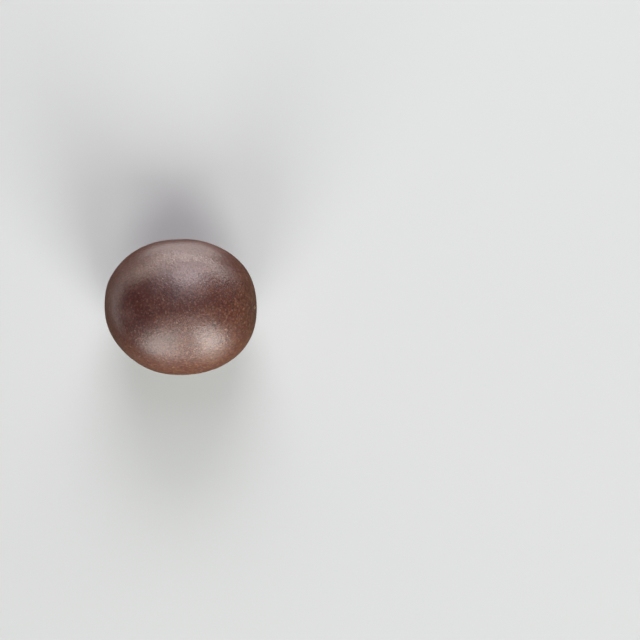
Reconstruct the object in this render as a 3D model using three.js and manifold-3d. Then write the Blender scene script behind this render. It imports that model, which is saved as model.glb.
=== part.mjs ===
// A purple passion fruit, picked and lying on its side, in millimetres with +Z up.
// The stalk end points to -X and dips a little, the blossom end points to +X. The fruit is
// one closed body: the leathery rind, the scar where the stalk broke off and the dry point
// at the blossom end all grew as one. It rests on a small flat spot at z = 0.
import * as THREE from "three";
import { mergeVertices } from "three/addons/utils/BufferGeometryUtils.js";
import Module from "manifold-3d";

// The whole fruit: half its length and half its girth, and how far both are squared off.
const HALF_LENGTH = 26.2;
const HALF_GIRTH = 23.35;
const FULLNESS = 2.16;
const STALK_DIP = THREE.MathUtils.degToRad(10);
const REST_DEPTH = 0.5;

// Three seed chambers give the rind three faint sides.
const CHAMBERS = 3;
const CHAMBER_SWELL = 0.22;

// Broad flats and swells of the grown rind: where they lie in the resting fruit,
// how many degrees they reach, and how many millimetres they sink (or rise, if negative).
const FLATS = [
  { towards: [-0.8, -0.6, 0.05], reach: 27, depth: 1.1 },
  { towards: [0.25, -0.8, 0.55], reach: 24, depth: 0.3 },
  { towards: [-0.6, 0.75, 0.3], reach: 30, depth: 0.3 },
  { towards: [0.88, 0.45, -0.15], reach: 24, depth: -0.35 },
  { towards: [0.88, -0.45, -0.15], reach: 20, depth: -0.35 },
  { towards: [0.14, 0.1, -1], reach: 26, depth: -0.35 },
];

// Shallow hollows all over, set on a golden-angle spiral so that no two line up.
const HOLLOWS = 44;
const HOLLOW_REACH = 13;
const HOLLOW_DEPTH = 0.17;
const GOLDEN_ANGLE = Math.PI * (3 - Math.sqrt(5));

// The stalk end, as distances from the axis: a dip in the rind, the raised ring that the
// flower left, the broken stub of the stalk inside it, and pleats that run out from the ring.
const DIP_RADIUS = 6.2;
const DIP_DEPTH = 1.1;
const RING_RADIUS = 2.55;
const RING_WIDTH = 0.5;
const RING_HEIGHT = 0.6;
const STUB_RADIUS = 1.45;
const STUB_HEIGHT = 1.0;
const STUB_EDGE = 0.3;
const PITH_RADIUS = 0.75;
const PITH_DEPTH = 0.35;
const PLEATS = 10;
const PLEAT_RADIUS = 4.4;
const PLEAT_WIDTH = 1.5;
const PLEAT_HEIGHT = 0.16;

// The blossom end: a shallow dimple with the dry point of the flower's style in it.
const DIMPLE_RADIUS = 3.6;
const DIMPLE_DEPTH = 0.4;
const POINT_RADIUS = 0.75;
const POINT_HEIGHT = 0.55;

// The facets: sides round the axis, and rings close together at the two ends only.
const SIDES = 64;
const STALK_RINGS = [0.45, 0.8, 1.15, 1.45, 1.75, 2.05, 2.35, 2.65, 3.0, 3.5, 4.2, 5.1, 6.2, 7.6];
const BLOSSOM_RINGS = [5.6, 4.2, 3.0, 2.0, 1.3, 0.8, 0.4];
const RING_STEP = THREE.MathUtils.degToRad(4.2);

const bump = (distance, width) => Math.exp(-((distance / width) ** 2));

const step = (distance, edge) => 0.5 - 0.5 * Math.tanh(distance / edge);

// A direction of the upright fruit, whose axis is X, turned to where it points at rest.
const dipped = (direction) =>
  direction.clone().applyAxisAngle(new THREE.Vector3(0, 1, 0), -STALK_DIP);

const hollows = Array.from({ length: HOLLOWS }, (_, k) => {
  const height = 1 - (2 * (k + 0.5)) / HOLLOWS;
  const width = Math.sqrt(1 - height * height);
  const turn = k * GOLDEN_ANGLE;
  return {
    towards: new THREE.Vector3(width * Math.cos(turn), width * Math.sin(turn), height),
    reach: HOLLOW_REACH,
    depth: HOLLOW_DEPTH * (0.55 + 0.45 * Math.sin(2.4 * k)),
  };
});

const flats = FLATS.map((flat) => ({
  ...flat,
  towards: new THREE.Vector3(...flat.towards).normalize(),
}));

// How far the flats and hollows sink the rind in one direction of the resting fruit.
function sunk(direction) {
  return [...flats, ...hollows].reduce((sum, { towards, reach, depth }) => {
    const away = THREE.MathUtils.radToDeg(direction.angleTo(towards));
    return sum + depth * bump(away, reach);
  }, 0);
}

// The plain oval of the fruit, as a radius in one direction.
function ovalRadius(direction) {
  const along = Math.abs(direction.x) / HALF_LENGTH;
  const across = Math.hypot(direction.y, direction.z) / HALF_GIRTH;
  return (along ** FULLNESS + across ** FULLNESS) ** (-1 / FULLNESS);
}

function stalkEnd(fromAxis, turn) {
  const pleats = Math.cos(PLEATS * turn) * bump(fromAxis - PLEAT_RADIUS, PLEAT_WIDTH);
  return (
    -DIP_DEPTH * bump(fromAxis, DIP_RADIUS) +
    RING_HEIGHT * bump(fromAxis - RING_RADIUS, RING_WIDTH) +
    STUB_HEIGHT * step(fromAxis - STUB_RADIUS, STUB_EDGE) -
    PITH_DEPTH * bump(fromAxis, PITH_RADIUS) +
    PLEAT_HEIGHT * pleats
  );
}

function blossomEnd(fromAxis) {
  return -DIMPLE_DEPTH * bump(fromAxis, DIMPLE_RADIUS) + POINT_HEIGHT * bump(fromAxis, POINT_RADIUS);
}

// A point of the rind, from its angle to the stalk end's axis and its turn about that axis.
function rindPoint(fromStalk, turn) {
  const side = Math.sin(fromStalk);
  const upright = new THREE.Vector3(
    -Math.cos(fromStalk),
    side * Math.cos(turn),
    side * Math.sin(turn),
  );
  const resting = dipped(upright);
  const oval = ovalRadius(upright);
  const end = upright.x < 0 ? stalkEnd(oval * side, turn) : blossomEnd(oval * side);
  const chambers = CHAMBER_SWELL * Math.cos(CHAMBERS * turn) * side ** 3;
  return resting.multiplyScalar(oval + end + chambers - sunk(resting));
}

// The rings' angles from the stalk end: close at both ends, even between them.
function ringAngles() {
  const angleOf = (fromAxis) => Math.asin(fromAxis / HALF_LENGTH);
  const first = STALK_RINGS.map(angleOf);
  const last = BLOSSOM_RINGS.map((fromAxis) => Math.PI - angleOf(fromAxis));
  const gap = last[0] - first.at(-1);
  const count = Math.round(gap / RING_STEP);
  const between = Array.from(
    { length: count - 1 },
    (_, k) => first.at(-1) + (gap * (k + 1)) / count,
  );
  return [...first, ...between, ...last];
}

// The rind as one closed mesh: a fan at each end and bands of triangles between the rings.
function rindGeometry() {
  const angles = ringAngles();
  const points = [rindPoint(0, 0)];
  for (const angle of angles) {
    for (let side = 0; side < SIDES; side += 1) {
      points.push(rindPoint(angle, (2 * Math.PI * side) / SIDES));
    }
  }
  points.push(rindPoint(Math.PI, 0));
  const at = (ring, side) => 1 + ring * SIDES + (side % SIDES);
  const faces = [];
  for (let side = 0; side < SIDES; side += 1) {
    faces.push(0, at(0, side + 1), at(0, side));
    for (let ring = 0; ring < angles.length - 1; ring += 1) {
      faces.push(at(ring, side), at(ring + 1, side + 1), at(ring + 1, side));
      faces.push(at(ring, side), at(ring, side + 1), at(ring + 1, side + 1));
    }
    faces.push(points.length - 1, at(angles.length - 1, side), at(angles.length - 1, side + 1));
  }
  return new THREE.BufferGeometry().setFromPoints(points).setIndex(faces);
}

const wasm = await Module();
wasm.setup();

function solidOf(geometry) {
  const bare = geometry.clone();
  bare.deleteAttribute("normal");
  bare.deleteAttribute("uv");
  const merged = mergeVertices(bare, 1e-4);
  return new wasm.Manifold(
    new wasm.Mesh({
      numProp: 3,
      vertProperties: merged.attributes.position.array,
      triVerts: new Uint32Array(merged.index.array),
    }),
  );
}

function geometryOf(solid) {
  const { vertProperties, triVerts } = solid.getMesh();
  const geometry = new THREE.BufferGeometry();
  geometry.setAttribute("position", new THREE.BufferAttribute(vertProperties, 3));
  geometry.setIndex(new THREE.BufferAttribute(triVerts, 1));
  geometry.computeVertexNormals();
  return geometry;
}

// The fruit with its resting spot pressed flat, standing on z = 0 and centred over the origin.
function restingFruit() {
  const rind = rindGeometry();
  rind.computeBoundingBox();
  const floor = rind.boundingBox.min.z + REST_DEPTH;
  const table = new THREE.BoxGeometry(4 * HALF_LENGTH, 4 * HALF_LENGTH, 2 * HALF_LENGTH);
  table.translate(0, 0, floor - HALF_LENGTH);
  const pressed = geometryOf(solidOf(rind).subtract(solidOf(table)));
  pressed.computeBoundingBox();
  const middle = pressed.boundingBox.getCenter(new THREE.Vector3());
  return pressed.translate(-middle.x, -middle.y, -pressed.boundingBox.min.z);
}

const fruit = new THREE.Mesh(
  restingFruit(),
  new THREE.MeshStandardMaterial({ color: 0x5a3430, roughness: 0.42, metalness: 0 }),
);
fruit.name = "fruit";

const passionFruit = new THREE.Group();
passionFruit.add(fruit);

export default passionFruit;
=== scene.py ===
# A ripe purple passion fruit, picked and lying on its side on a pale floor.
# Everything is in metres: +X runs from the stalk end to the blossom end, +Z is up, and the
# fruit rests on z = 0.
import math

import bpy
import numpy as np
from mathutils import Matrix, Vector, noise


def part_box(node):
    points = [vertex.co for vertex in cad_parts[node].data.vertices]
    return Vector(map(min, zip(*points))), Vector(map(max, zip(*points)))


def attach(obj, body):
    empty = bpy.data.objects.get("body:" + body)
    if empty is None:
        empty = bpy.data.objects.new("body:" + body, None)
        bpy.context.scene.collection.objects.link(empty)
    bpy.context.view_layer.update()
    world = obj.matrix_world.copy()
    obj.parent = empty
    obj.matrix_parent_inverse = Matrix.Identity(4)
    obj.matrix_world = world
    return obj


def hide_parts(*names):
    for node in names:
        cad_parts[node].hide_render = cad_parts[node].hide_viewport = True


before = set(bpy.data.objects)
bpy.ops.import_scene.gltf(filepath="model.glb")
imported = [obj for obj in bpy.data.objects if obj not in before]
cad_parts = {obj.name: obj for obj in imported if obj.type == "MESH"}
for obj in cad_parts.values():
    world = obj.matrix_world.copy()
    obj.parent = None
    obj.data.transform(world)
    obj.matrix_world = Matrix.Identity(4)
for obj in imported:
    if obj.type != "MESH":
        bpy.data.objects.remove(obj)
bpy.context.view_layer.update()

# The rind: the whole skin of the fruit, leathery and waxed by its own bloom. It grew in one
# piece round three seed chambers, which give it three faint sides, and it sinks in a little
# at both ends. The fruit's weight presses a small spot of it flat where it lies.
half_length = 0.0262
half_girth = 0.02335
fullness = 2.16
stalk_dip = math.radians(10)
rest_depth = 0.0005
chambers = 3
chamber_swell = 0.00022

# Broad flats and swells: where each lies in the resting fruit, how many degrees it reaches,
# and how deep it sinks, or how far it rises where the depth is negative.
flats = [
    ((-0.8, -0.6, 0.05), 27, 0.0011),
    ((0.25, -0.8, 0.55), 24, 0.0003),
    ((-0.6, 0.75, 0.3), 30, 0.0003),
    ((0.88, 0.45, -0.15), 24, -0.00035),
    ((0.88, -0.45, -0.15), 20, -0.00035),
    ((0.14, 0.1, -1), 26, -0.00035),
]

# Shallow hollows all over, on a golden-angle spiral so that no two line up. Their depths swing
# about a mean share of the full depth.
hollow_count = 44
hollow_reach = 13
hollow_depth = 0.00017
hollow_mean = 0.55
hollow_swing = 0.45
hollow_step = 2.4
golden_angle = math.pi * (3 - math.sqrt(5))

# The stalk end, as distances from the axis: a dip, the raised ring that the flower left, the
# broken stub of the stalk inside it, and pleats that run out from the ring.
dip_radius = 0.0062
dip_depth = 0.0011
ring_radius = 0.00255
ring_width = 0.0005
ring_height = 0.0006
stub_radius = 0.00145
stub_height = 0.0010
stub_edge = 0.0003
pith_radius = 0.00075
pith_depth = 0.00035
pleat_count = 10
pleat_radius = 0.0044
pleat_width = 0.0015
pleat_height = 0.00016

# The blossom end: a shallow dimple with the dry point of the flower's style in it.
dimple_radius = 0.0036
dimple_depth = 0.0004
point_radius = 0.00075
point_height = 0.00055

# The fine relief: soft dents a few millimetres across and the grain of the leathery skin.
dent_size = 0.0052
dent_depth = 0.000035
grain_size = 0.0013
grain_depth = 0.000014

rind_sides = 440
rind_rings = 222
ring_crowding = 0.2


def swell(distance, width):
    return np.exp(-((distance / width) ** 2))


def within(distance, edge):
    """One inside an edge and nothing outside it, with a soft step between."""
    return 0.5 - 0.5 * np.tanh(distance / edge)


def hollow(k):
    """The k-th hollow: where it lies, how many degrees it reaches and how deep it is."""
    height = 1 - 2 * (k + 0.5) / hollow_count
    width = math.sqrt(1 - height * height)
    towards = (width * math.cos(k * golden_angle), width * math.sin(k * golden_angle), height)
    depth = hollow_depth * (hollow_mean + hollow_swing * math.sin(hollow_step * k))
    return towards, hollow_reach, depth


def sunk(direction):
    """How far the flats and hollows sink the rind in these directions."""
    total = np.zeros(direction.shape[:-1])
    for towards, reach, depth in [*flats, *map(hollow, range(hollow_count))]:
        cosine = np.clip(direction @ np.array(Vector(towards).normalized()), -1, 1)
        total += depth * swell(np.degrees(np.arccos(cosine)), reach)
    return total


def stalk_end(out, turn):
    """How far the fruit rises at its stalk end, this far out from the axis."""
    pleats = np.cos(pleat_count * turn) * swell(out - pleat_radius, pleat_width)
    return (
        -dip_depth * swell(out, dip_radius)
        + ring_height * swell(out - ring_radius, ring_width)
        + stub_height * within(out - stub_radius, stub_edge)
        - pith_depth * swell(out, pith_radius)
        + pleat_height * pleats
    )


def blossom_end(out):
    return point_height * swell(out, point_radius) - dimple_depth * swell(out, dimple_radius)


def fruit_reach(from_stalk, turn):
    """Directions of the resting fruit, and how far it reaches in each from its middle."""
    side = np.sin(from_stalk)
    upright = np.stack([-np.cos(from_stalk), side * np.cos(turn), side * np.sin(turn)], axis=-1)
    direction = upright @ np.array(Matrix.Rotation(-stalk_dip, 3, "Y")).T
    along = np.abs(upright[..., 0]) / half_length
    oval = (along ** fullness + (side / half_girth) ** fullness) ** (-1 / fullness)
    out = oval * side
    ends = np.where(upright[..., 0] < 0, stalk_end(out, turn), blossom_end(out))
    ribs = chamber_swell * np.cos(chambers * turn) * side ** 3
    return direction, oval + ends + ribs - sunk(direction)


def waves(points, size):
    """Smooth noise between -1 and 1 at these points, with waves of about this size."""
    flat = (points / size).reshape(-1, 3)
    return np.array([noise.noise(p) for p in flat]).reshape(points.shape[:-1])


def closed_skin(name, first, rings, last):
    """A smooth closed mesh: one point, rings of points round it, and one point at the far end."""
    count, sides = rings.shape[:2]
    points = np.vstack([first, rings.reshape(-1, 3), last])
    here = 1 + np.arange(count * sides).reshape(count, sides)
    beside = np.roll(here, -1, axis=1)
    near_fan = np.stack([np.zeros(sides, int), beside[0], here[0]], axis=-1)
    far_fan = np.stack([np.full(sides, len(points) - 1), here[-1], beside[-1]], axis=-1)
    bands = np.stack([here[:-1], beside[:-1], beside[1:], here[1:]], axis=-1).reshape(-1, 4)
    mesh = bpy.data.meshes.new(name)
    mesh.from_pydata(points.tolist(), [], [*near_fan.tolist(), *bands.tolist(), *far_fan.tolist()])
    mesh.shade_smooth()
    piece = bpy.data.objects.new(name, mesh)
    bpy.context.scene.collection.objects.link(piece)
    return piece


# The rind runs on under the scars of both ends, out of sight below them.
stalk_scar_radius = 0.0032
blossom_scar_radius = 0.0013
under_scar = 0.0005
under_edge = 0.0002

steps = np.linspace(0, 1, rind_rings + 2)[1:-1]
steps = math.pi * (steps - ring_crowding * np.sin(2 * math.pi * steps) / (2 * math.pi))
turns = 2 * math.pi * np.arange(rind_sides) / rind_sides
from_stalk, turn = np.meshgrid(steps, turns, indexing="ij")
direction, reach = fruit_reach(from_stalk, turn)
plain = direction * reach[..., None]

floor_height = plain[..., 2].min() + rest_depth
node_low, node_high = map(np.array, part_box("fruit"))
to_rest = (node_low + node_high) / 2 - (plain.min(axis=(0, 1)) + plain.max(axis=(0, 1))) / 2
to_rest[2] = node_low[2] - floor_height


def settle(points):
    """Moves points from round the fruit's middle to where it rests, pressed flat on the floor."""
    settled = points.copy()
    settled[..., 2] = np.maximum(settled[..., 2], floor_height)
    return settled + to_rest


def axis_point(from_stalk, lift=0.0):
    """The fruit's point on the axis at either end, lifted off it by this much."""
    direction, reach = fruit_reach(np.array([from_stalk]), np.array([0.0]))
    return settle(direction * (reach + lift)[..., None])


relief = dent_depth * waves(plain, dent_size) + grain_depth * waves(plain, grain_size)
scar_radius = np.where(from_stalk < math.pi / 2, stalk_scar_radius, blossom_scar_radius)
covered = within(reach * np.sin(from_stalk) - scar_radius + 2 * under_edge, under_edge)
rind = closed_skin(
    "rind",
    axis_point(0, -under_scar),
    settle(direction * (reach + relief - under_scar * covered)[..., None]),
    axis_point(math.pi, -under_scar),
)

# The colours of the rind, from the dark ground to the pale specks.
dark_maroon = (0.017, 0.0042, 0.0040)
maroon = (0.046, 0.0100, 0.0090)
red_brown = (0.084, 0.0240, 0.0130)
warm_brown = (0.135, 0.056, 0.029)
rosy_brown = (0.130, 0.057, 0.044)
grey_bloom = (0.115, 0.076, 0.076)
fine_speck = (0.240, 0.120, 0.075)
pale_freckle = (0.320, 0.195, 0.140)
sand = (0.300, 0.150, 0.075)
dry_tan = (0.210, 0.120, 0.066)

# The side that ripened in the sun, at the front right, is redder and browner and has less bloom. Along
# that side's rim the same blend also paints warm bounce light into the colour. It blends in between
# two edges, measured from the fruit's middle towards that side.
sun_ripe_and_bounce_side = (0.62, -0.78, 0.0)
shade_edge = -0.018
ripe_and_bounce_edge = 0.022

# Round the two ends the rind changes, and at the blossom end the change is painted shade: how far out
# from the axis each change starts and is full, and how far along the fruit it starts and is full.
stalk_tint_out = (0.0078, 0.0028)
stalk_tint_along = (-0.018, -0.022)
blossom_shade_out = (0.0160, 0.0010)
blossom_shade_along = (0.012, 0.022)

# The sizes of the patches in the rind's colour, from broad clouds to fine grain.
cloud_size = 0.009
bloom_size = 0.0085
brown_size = 0.0034
dry_size = 0.0011
dark_grain_size = 0.00095
light_grain_size = 0.00080
pore_size = 0.0010

# The gloss of the waxy rind, where it is bare and where bloom and specks dull it, and the
# depth of its pores and specks.
waxy_roughness = 0.36
dull_roughness = 0.62
waxy_gloss = 0.8
waxy_tint = (1.0, 0.90, 0.86, 1)
relief_depth = 0.00003
relief_strength = 0.8
pore_share = 3.7
speck_share = 0.8


def add(tree, kind, sockets=None, **settings):
    """Adds a node. Each socket is linked to a node's output or holds a plain value."""
    node = tree.nodes.new(kind)
    for name, value in settings.items():
        setattr(node, name, value)
    for name, value in (sockets or {}).items():
        if isinstance(value, bpy.types.NodeSocket):
            tree.links.new(value, node.inputs[name])
        else:
            node.inputs[name].default_value = value
    return node


def maths(tree, operation, *values):
    return add(tree, "ShaderNodeMath", dict(enumerate(values)), operation=operation).outputs[0]


def times(tree, first, second):
    return maths(tree, "MULTIPLY", first, second)


def plus(tree, first, second):
    return maths(tree, "ADD", first, second)


def ramp(tree, value, low, high, to_low=0.0, to_high=1.0):
    """Takes a value smoothly from one range to another."""
    sockets = {"Value": value, "From Min": low, "From Max": high}
    sockets |= {"To Min": to_low, "To Max": to_high}
    return add(tree, "ShaderNodeMapRange", sockets, interpolation_type="SMOOTHSTEP").outputs[0]


def over(tree, below, colour, share):
    """Lays a colour over what is below it."""
    above = (*colour, 1) if isinstance(colour, tuple) else colour
    under = (*below, 1) if isinstance(below, tuple) else below
    return add(tree, "ShaderNodeMix", {0: share, 6: under, 7: above}, data_type="RGBA").outputs[2]


def effect(name, inputs, outputs):
    """A new node group with these sockets: its tree, its inputs and its output node."""
    tree = bpy.data.node_groups.new(name, "ShaderNodeTree")
    for socket, kind in inputs.items():
        tree.interface.new_socket(socket, in_out="INPUT", socket_type=kind)
    for socket, kind in outputs.items():
        tree.interface.new_socket(socket, in_out="OUTPUT", socket_type=kind)
    return tree, tree.nodes.new("NodeGroupInput").outputs, tree.nodes.new("NodeGroupOutput")


def use(tree, group, output, sockets):
    """Places an effect in a material and gives one of its outputs."""
    return add(tree, "ShaderNodeGroup", sockets, node_tree=group).outputs[output]


def patches_effect():
    """Soft patches of one size: more of the surface is covered the lower the range lies."""
    tree, given, result = effect(
        "patches",
        {"Vector": "NodeSocketVector", "Size": "NodeSocketFloat",
         "Bare Below": "NodeSocketFloat", "Full Above": "NodeSocketFloat"},
        {"Mask": "NodeSocketFloat"},
    )
    sockets = {"Vector": given["Vector"], "Detail": 3.0}
    sockets["Scale"] = maths(tree, "DIVIDE", 1.0, given["Size"])
    cloud = add(tree, "ShaderNodeTexNoise", sockets).outputs["Fac"]
    mask = ramp(tree, cloud, given["Bare Below"], given["Full Above"])
    tree.links.new(mask, result.inputs["Mask"])
    return tree


def specks_effect():
    """Round specks, strewn unevenly, each with its own size and strength."""
    smallest = 0.55
    faintest = 0.45
    full_inside = 0.35
    tree, given, result = effect(
        "specks",
        {"Vector": "NodeSocketVector", "Spacing": "NodeSocketFloat",
         "Radius": "NodeSocketFloat", "Left Out": "NodeSocketFloat"},
        {"Mask": "NodeSocketFloat"},
    )
    scale = maths(tree, "DIVIDE", 1.0, given["Spacing"])
    cells = add(tree, "ShaderNodeTexVoronoi", {"Vector": given["Vector"], "Scale": scale})
    own = add(tree, "ShaderNodeSeparateColor", {"Color": cells.outputs["Color"]})
    widest = maths(tree, "DIVIDE", given["Radius"], given["Spacing"])
    radius = times(tree, widest, ramp(tree, own.outputs["Red"], 0.0, 1.0, smallest, 1.0))
    inside = ramp(tree, maths(tree, "DIVIDE", cells.outputs["Distance"], radius), 1.0, full_inside)
    kept = maths(tree, "GREATER_THAN", own.outputs["Green"], given["Left Out"])
    strength = times(tree, kept, ramp(tree, own.outputs["Blue"], 0.0, 1.0, faintest, 1.0))
    tree.links.new(times(tree, inside, strength), result.inputs["Mask"])
    return tree


def out_from_axis_effect():
    """How far a point lies out from the fruit's own axis, which dips at the stalk end."""
    tree, given, result = effect(
        "out from axis", {"Vector": "NodeSocketVector"}, {"Distance": "NodeSocketFloat"}
    )
    axis = Matrix.Rotation(-stalk_dip, 3, "Y") @ Vector((1, 0, 0))
    middle = Vector(to_rest)
    outwards = add(tree, "ShaderNodeVectorMath", {0: given["Vector"], 1: middle}, operation="SUBTRACT")
    across = add(
        tree, "ShaderNodeVectorMath", {0: outwards.outputs[0], 1: axis}, operation="CROSS_PRODUCT"
    )
    length = add(tree, "ShaderNodeVectorMath", {0: across.outputs[0]}, operation="LENGTH")
    tree.links.new(length.outputs["Value"], result.inputs["Distance"])
    return tree


patches = patches_effect()
specks = specks_effect()
out_from_axis = out_from_axis_effect()


def patchy(tree, where, size, bare_below, full_above):
    sockets = {"Vector": where, "Size": size, "Bare Below": bare_below, "Full Above": full_above}
    return use(tree, patches, "Mask", sockets)


def specked(tree, where, spacing, radius, left_out):
    sockets = {"Vector": where, "Spacing": spacing, "Radius": radius, "Left Out": left_out}
    return use(tree, specks, "Mask", sockets)


def new_finish(name):
    """A new material: its node tree, its surface shader, and where each point lies on the fruit."""
    material = bpy.data.materials.new(name)
    material.use_nodes = True
    tree = material.node_tree
    where = add(tree, "ShaderNodeTexCoord").outputs["Object"]
    return material, tree, tree.nodes["Principled BSDF"], where


def rind_finish():
    material, tree, skin, where = new_finish("speckled rind")
    along = add(tree, "ShaderNodeSeparateXYZ", {"Vector": where}).outputs["X"]
    out = use(tree, out_from_axis, "Distance", {"Vector": where})

    # The ground is redder on the sun-ripened side, in broad clouds and in patches of brown. Towards
    # its rim this redness is partly painted warm bounce light.
    ripe_and_bounce_share = add(tree, "ShaderNodeVectorMath", {0: where, 1: sun_ripe_and_bounce_side}, operation="DOT_PRODUCT")
    ripe_and_bounce_share = ramp(tree, ripe_and_bounce_share.outputs["Value"], shade_edge, ripe_and_bounce_edge)
    clouds = patchy(tree, where, cloud_size, bare_below=0.3, full_above=0.7)
    blush_and_bounce = plus(tree, times(tree, 0.8, ripe_and_bounce_share), times(tree, 0.4, clouds))
    ground = over(tree, maroon, red_brown, ramp(tree, blush_and_bounce, 0.1, 1.1))
    brown = times(tree, blush_and_bounce, patchy(tree, where, brown_size, bare_below=0.46, full_above=0.72))
    ground = over(tree, ground, warm_brown, times(tree, 0.5, brown))

    # Round the stalk's scar the rind is drier and paler, and round the blossom's it is darkened with
    # painted shade.
    at_stalk = times(tree, ramp(tree, out, *stalk_tint_out), ramp(tree, along, *stalk_tint_along))
    blossom_end_shade = times(
        tree, ramp(tree, out, *blossom_shade_out), ramp(tree, along, *blossom_shade_along)
    )
    dry = times(tree, at_stalk, patchy(tree, where, dry_size, bare_below=0.32, full_above=0.66))
    ground = over(tree, ground, dry_tan, times(tree, 0.75, dry))
    ground = over(tree, ground, dark_maroon, times(tree, 0.5, blossom_end_shade))

    # Fine grain, dark and light, about a millimetre apart.
    dark_grain = patchy(tree, where, dark_grain_size, bare_below=0.50, full_above=0.64)
    light_grain = patchy(tree, where, light_grain_size, bare_below=0.50, full_above=0.66)
    ground = over(tree, ground, dark_maroon, times(tree, 0.6, dark_grain))
    light_share = times(tree, light_grain, ramp(tree, blush_and_bounce, 0.0, 1.0, 0.28, 0.75))
    ground = over(tree, ground, rosy_brown, light_share)

    # A thin grey bloom lies in patches, more of it on the shaded side.
    bloomy = patchy(tree, where, bloom_size, bare_below=0.34, full_above=0.7)
    bloom = times(tree, bloomy, ramp(tree, ripe_and_bounce_share, 0.0, 1.0, 0.14, 0.06))
    ground = over(tree, ground, grey_bloom, bloom)

    # Small specks everywhere, a few pale freckles among them, and sandy spots on the sun-ripened side,
    # thickest along the rim where the warm bounce light is painted.
    fine = specked(tree, where, spacing=0.00092, radius=0.00044, left_out=0.25)
    coarse = specked(tree, where, spacing=0.0026, radius=0.00052, left_out=0.35)
    sandy = specked(tree, where, spacing=0.0015, radius=0.00070, left_out=0.3)
    fine_share = times(tree, fine, ramp(tree, blush_and_bounce, 0.0, 1.0, 0.12, 0.50))
    ground = over(tree, ground, fine_speck, fine_share)
    ground = over(tree, ground, pale_freckle, times(tree, 0.3, coarse))
    ground = over(tree, ground, sand, times(tree, sandy, ramp(tree, ripe_and_bounce_share, 0.55, 1.0, 0.0, 0.45)))
    tree.links.new(ground, skin.inputs["Base Color"])

    dull = plus(tree, bloom, times(tree, 0.12, plus(tree, fine, dark_grain)))
    dull = plus(tree, dull, times(tree, 0.4, at_stalk))
    roughness = ramp(tree, dull, 0.0, 0.5, waxy_roughness, dull_roughness)
    tree.links.new(roughness, skin.inputs["Roughness"])
    skin.inputs["Specular IOR Level"].default_value = waxy_gloss
    skin.inputs["Specular Tint"].default_value = waxy_tint

    pores = add(tree, "ShaderNodeTexNoise", {"Vector": where, "Scale": 1 / pore_size, "Detail": 3.0})
    raised = times(tree, speck_share, plus(tree, fine, coarse))
    height = plus(tree, times(tree, pore_share, pores.outputs["Fac"]), raised)
    sockets = {"Height": height, "Distance": relief_depth, "Strength": relief_strength}
    bumps = add(tree, "ShaderNodeBump", sockets)
    tree.links.new(bumps.outputs["Normal"], skin.inputs["Normal"])
    return material


rind.data.materials.append(rind_finish())
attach(rind, "root")
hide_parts("fruit")

# The stalk's scar: the corky ring where the flower sat and, inside it, the torn stub of the
# stalk, dry and fibrous round its soft pith. It is dead tissue that grew as one with the rind,
# and it cracked as it dried.
scar_sides = 180
scar_rings = 64
scar_overlap = 1.15
root_depth = 0.0003
edge_wander = 0.00018
crack_size = 0.0009
crack_width = 0.10
crack_depth = 0.00016
fibre_size = 0.00028
fibre_depth = 0.00007
torn_lean = 0.22
torn_side = math.radians(115)


def grown_on(name, radius, rings, sides, lift, blossom=False):
    """A closed piece on one end of the fruit: its face, and its hidden side just under it."""
    out, turn = np.meshgrid(
        radius * np.arange(1, rings + 1) / rings,
        2 * math.pi * np.arange(sides) / sides * (-1 if blossom else 1),
        indexing="ij",
    )
    angle = np.arcsin(out / half_length)
    direction, reach = fruit_reach(math.pi - angle if blossom else angle, turn)
    rise = lift(out, turn, direction * reach[..., None])
    face = direction * (reach + rise)[..., None]
    hidden = direction * (reach - root_depth)[..., None]
    pole = math.pi if blossom else 0
    top = axis_point(pole, rise[0].mean())
    root = axis_point(pole, -root_depth)
    return closed_skin(name, top, settle(np.vstack([face, hidden[::-1]])), root)


def scar_lift(out, turn, points):
    cracks = crack_depth * swell(waves(points, crack_size), crack_width)
    lean = torn_lean * stub_height * np.cos(turn - torn_side) * within(out - stub_radius, stub_edge)
    fibres = fibre_depth * waves(points, fibre_size)
    edge = stalk_scar_radius + edge_wander * waves(points, 2 * crack_size)
    return lean + fibres - cracks - root_depth * (1 - within(out - edge, under_edge / 2))


stalk_scar = grown_on(
    "stalk_scar", stalk_scar_radius * scar_overlap, scar_rings, scar_sides, scar_lift
)

# The colours of the dry tissue at both ends, and the sizes of its patches and grain.
cork_tan = (0.300, 0.185, 0.105)
straw = (0.420, 0.300, 0.170)
dry_brown = (0.110, 0.055, 0.030)
# The darkest colour serves the cracks and fibres and the painted shade in the stalk scar's groove.
crack_dark_and_shade = (0.030, 0.014, 0.010)
cork_patch_size = 0.0010
cork_fibre_size = 0.00035
cork_grain_size = 0.0003
cork_grain_depth = 0.00004


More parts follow.
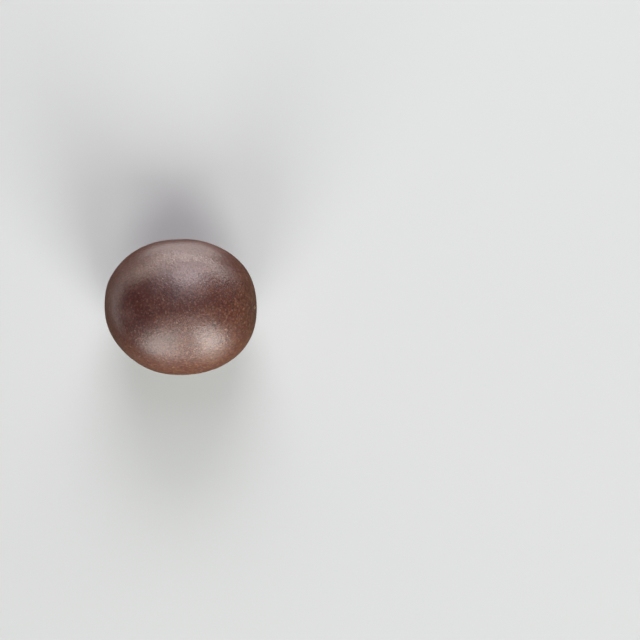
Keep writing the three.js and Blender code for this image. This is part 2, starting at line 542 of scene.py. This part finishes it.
def scar_finish():
    material, tree, cork, where = new_finish("dry cork")
    out = use(tree, out_from_axis, "Distance", {"Vector": where})

    torn = ramp(tree, out, stub_radius + stub_edge, stub_radius - stub_edge)
    ground = over(tree, cork_tan, straw, times(tree, 0.7, torn))
    pith = ramp(tree, out, pith_radius, 0.4 * pith_radius)
    ground = over(tree, ground, dry_brown, times(tree, 0.7, pith))
    weathered = patchy(tree, where, cork_patch_size, bare_below=0.42, full_above=0.64)
    ground = over(tree, ground, dry_brown, times(tree, 0.6, weathered))

    # Painted shade darkens the groove between stub and ring, and it is dark between the fibres.
    groove_middle = (stub_radius + ring_radius) / 2
    off_groove = maths(tree, "ABSOLUTE", maths(tree, "SUBTRACT", out, groove_middle))
    groove_shade = ramp(tree, off_groove, (ring_radius - stub_radius) / 2, 0.0)
    ground = over(tree, ground, crack_dark_and_shade, times(tree, 0.65, groove_shade))
    fibres = patchy(tree, where, cork_fibre_size, bare_below=0.50, full_above=0.62)
    ground = over(tree, ground, crack_dark_and_shade, times(tree, 0.55, fibres))

    # Pale flecks lie on the cork, and its edge takes on the colour of the rind.
    pale = specked(tree, where, spacing=0.00055, radius=0.00018, left_out=0.5)
    ground = over(tree, ground, straw, times(tree, 0.5, pale))
    at_rind = ramp(tree, out, ring_radius + ring_width / 2, stalk_scar_radius)
    ground = over(tree, ground, red_brown, times(tree, 0.6, at_rind))
    tree.links.new(ground, cork.inputs["Base Color"])

    tree.links.new(ramp(tree, fibres, 0.0, 1.0, 0.72, 0.92), cork.inputs["Roughness"])
    sockets = {"Vector": where, "Scale": 1 / cork_grain_size, "Detail": 4.0}
    rough = add(tree, "ShaderNodeTexNoise", sockets)
    height = plus(tree, times(tree, 2.0, rough.outputs["Fac"]), times(tree, -1.0, fibres))
    sockets = {"Height": height, "Distance": cork_grain_depth, "Strength": 0.9}
    bumps = add(tree, "ShaderNodeBump", sockets)
    tree.links.new(bumps.outputs["Normal"], cork.inputs["Normal"])
    return material


stalk_scar.data.materials.append(scar_finish())
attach(stalk_scar, "root")
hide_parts("fruit")

# The blossom's scar: the small hard point that the flower's style left behind, brown and dry,
# in its dimple at the far end. It grew from the rind too and is as old as the fruit.
point_sides = 90
point_rings = 26
point_overlap = 1.3
point_relief = 0.00006
point_relief_size = 0.0004
point_patch_size = 0.0005
point_grain_size = 0.00025
point_grain_depth = 0.00005


def point_lift(out, turn, points):
    rough = point_relief * waves(points, point_relief_size)
    edge = blossom_scar_radius + 0.5 * edge_wander * waves(points, crack_size)
    return rough - root_depth * (1 - within(out - edge, under_edge / 2))


blossom_scar = grown_on(
    "blossom_scar",
    blossom_scar_radius * point_overlap,
    point_rings,
    point_sides,
    point_lift,
    blossom=True,
)


def point_finish():
    material, tree, nib, where = new_finish("dry point")
    out = use(tree, out_from_axis, "Distance", {"Vector": where})

    tip = ramp(tree, out, point_radius, 0.3 * point_radius)
    ground = over(tree, dry_brown, cork_tan, times(tree, 0.6, tip))
    weathered = patchy(tree, where, point_patch_size, bare_below=0.44, full_above=0.62)
    ground = over(tree, ground, crack_dark_and_shade, times(tree, 0.6, weathered))
    at_rind = ramp(tree, out, point_radius, blossom_scar_radius)
    ground = over(tree, ground, maroon, times(tree, 0.8, at_rind))
    tree.links.new(ground, nib.inputs["Base Color"])

    tree.links.new(ramp(tree, weathered, 0.0, 1.0, 0.6, 0.85), nib.inputs["Roughness"])
    sockets = {"Vector": where, "Scale": 1 / point_grain_size, "Detail": 3.0}
    rough = add(tree, "ShaderNodeTexNoise", sockets)
    sockets = {"Height": rough.outputs["Fac"], "Distance": point_grain_depth, "Strength": 0.8}
    bumps = add(tree, "ShaderNodeBump", sockets)
    tree.links.new(bumps.outputs["Normal"], nib.inputs["Normal"])
    return material


blossom_scar.data.materials.append(point_finish())
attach(blossom_scar, "root")
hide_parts("fruit")

# The stage: a wide pale floor under soft panels. Behind the fruit three stand one above the
# other with one more at each side, and in front of it are two wide ones and a small high one.
# The floor is pale where it is seen, but throws little light back on the fruit.
floor_size = 6.0
floor_colour = (0.56, 0.555, 0.545)
floor_bounce = (0.16, 0.112, 0.072)


def pale_floor():
    half = floor_size / 2
    corners = [(-half, -half, 0), (half, -half, 0), (half, half, 0), (-half, half, 0)]
    mesh = bpy.data.meshes.new("floor")
    mesh.from_pydata(corners, [], [(0, 1, 2, 3)])
    piece = bpy.data.objects.new("floor", mesh)
    bpy.context.scene.collection.objects.link(piece)
    material = bpy.data.materials.new("pale floor")
    material.use_nodes = True
    tree = material.node_tree
    tree.nodes.remove(tree.nodes["Principled BSDF"])
    seen = add(tree, "ShaderNodeBsdfDiffuse", {"Color": (*floor_colour, 1)})
    bounced = add(tree, "ShaderNodeBsdfDiffuse", {"Color": (*floor_bounce, 1)})
    straight = add(tree, "ShaderNodeLightPath").outputs["Is Camera Ray"]
    both = add(tree, "ShaderNodeMixShader", {0: straight, 1: bounced.outputs[0], 2: seen.outputs[0]})
    tree.links.new(both.outputs[0], tree.nodes["Material Output"].inputs["Surface"])
    mesh.materials.append(material)
    return piece


pale_floor()

# The colours of the light, from cool to warm, and the two ways in which a panel faces when it
# isn't turned to the fruit.
blue_white = (0.92, 0.92, 1.0)
cool_white = (0.95, 1.0, 0.98)
white = (1.0, 1.0, 1.0)
cream_white = (1.0, 0.93, 0.80)
warm_white = (1.0, 0.84, 0.66)
forwards = (0, 1, 0)
upwards = (0, 0, 1)


def soft_panel(name, middle, width, height, brightness, colour=white, facing=None):
    """A soft light, turned to the fruit or the way it is told to face. Its brightness, in watts
    a square metre and steradian, is what the fruit mirrors."""
    light = bpy.data.lights.new(name, "AREA")
    light.shape = "RECTANGLE"
    light.size = width
    light.size_y = height
    light.energy = brightness * math.pi * width * height
    light.color = colour
    panel = bpy.data.objects.new(name, light)
    panel.location = middle
    panel.rotation_mode = "QUATERNION"
    panel.rotation_quaternion = Vector(facing or [-c for c in middle]).to_track_quat("-Z", "Y")
    panel.visible_camera = False
    bpy.context.scene.collection.objects.link(panel)


soft_panel("back panel", (0.03, 0.97, 0.70), 0.72, 0.34, 8.5, blue_white)
soft_panel("back panel below", (0.08, 1.12, 0.43), 1.0, 0.3, 4.7, blue_white)
soft_panel("back panel above", (0.04, 0.63, 1.02), 0.66, 0.6, 2.1, blue_white)
soft_panel("back left panel", (-0.70, 0.97, 0.13), 0.66, 0.36, 4.4, cream_white)
soft_panel("back right panel", (0.70, 0.97, 0.13), 0.66, 0.36, 5.9)
soft_panel("front left panel", (-0.56, -1.2, 0.80), 0.90, 1.62, 5.0, cool_white, forwards)
soft_panel("front right panel", (0.82, -1.2, 0.85), 1.04, 1.84, 7.5, cool_white, forwards)
soft_panel("high front panel", (0.08, -0.44, 1.11), 0.6, 0.35, 2.2)

# Six more panels lie on the floor, out of the camera's sight, and light the fruit from below.
soft_panel("far low back panel", (0.02, 0.56, 0.002), 0.40, 0.50, 21, white, upwards)
soft_panel("near low back panel", (0.0, 0.125, 0.002), 0.08, 0.15, 2.2, white, upwards)
soft_panel("far low front panel", (0.10, -0.56, 0.002), 0.80, 0.50, 7.4, white, upwards)
soft_panel("near low front panel", (0.07, -0.13, 0.002), 0.08, 0.12, 2.2, warm_white, upwards)
soft_panel("low right panel", (0.15, 0.12, 0.002), 0.12, 0.10, 2.0, white, upwards)
soft_panel("low left panel", (-0.24, 0.05, 0.002), 0.28, 0.24, 1.5, white, upwards)

# The air is pale where it is seen beyond the floor, and gives the fruit only a dim warm light.
air_colour = (0.9, 0.9, 0.89)
air_brightness = 0.95
air_glow = (0.9, 0.76, 0.70)
air_glow_brightness = 0.05


def pale_air():
    world = bpy.data.worlds.new("studio")
    world.use_nodes = True
    tree = world.node_tree
    glow = tree.nodes["Background"]
    glow.inputs["Color"].default_value = (*air_glow, 1)
    glow.inputs["Strength"].default_value = air_glow_brightness
    sockets = {"Color": (*air_colour, 1), "Strength": air_brightness}
    seen = add(tree, "ShaderNodeBackground", sockets)
    straight = add(tree, "ShaderNodeLightPath").outputs["Is Camera Ray"]
    both = add(tree, "ShaderNodeMixShader", {0: straight, 1: glow.outputs[0], 2: seen.outputs[0]})
    tree.links.new(both.outputs[0], tree.nodes["World Output"].inputs["Surface"])
    return world


bpy.context.scene.world = pale_air()

# The camera looks straight down from this high above the fruit's middle. In the picture the
# fruit is 152 pixels long and stands left of the middle, so the camera stands to its right.
picture_width = 640
millimetres_a_pixel = 0.342
fruit_in_picture = (180.8, 307.0)
camera_height = 0.9
sensor_width = 36.0


def look_down():
    scale = millimetres_a_pixel / 1000
    lens = bpy.data.cameras.new("camera")
    lens.sensor_width = sensor_width
    lens.lens = sensor_width * camera_height / (picture_width * scale)
    camera = bpy.data.objects.new("camera", lens)
    right = (picture_width / 2 - fruit_in_picture[0]) * scale
    up = (fruit_in_picture[1] - picture_width / 2) * scale
    camera.location = (right, up, half_girth + camera_height)
    bpy.context.scene.collection.objects.link(camera)
    return camera


bpy.context.scene.camera = look_down()
bpy.context.scene.view_settings.view_transform = "Standard"
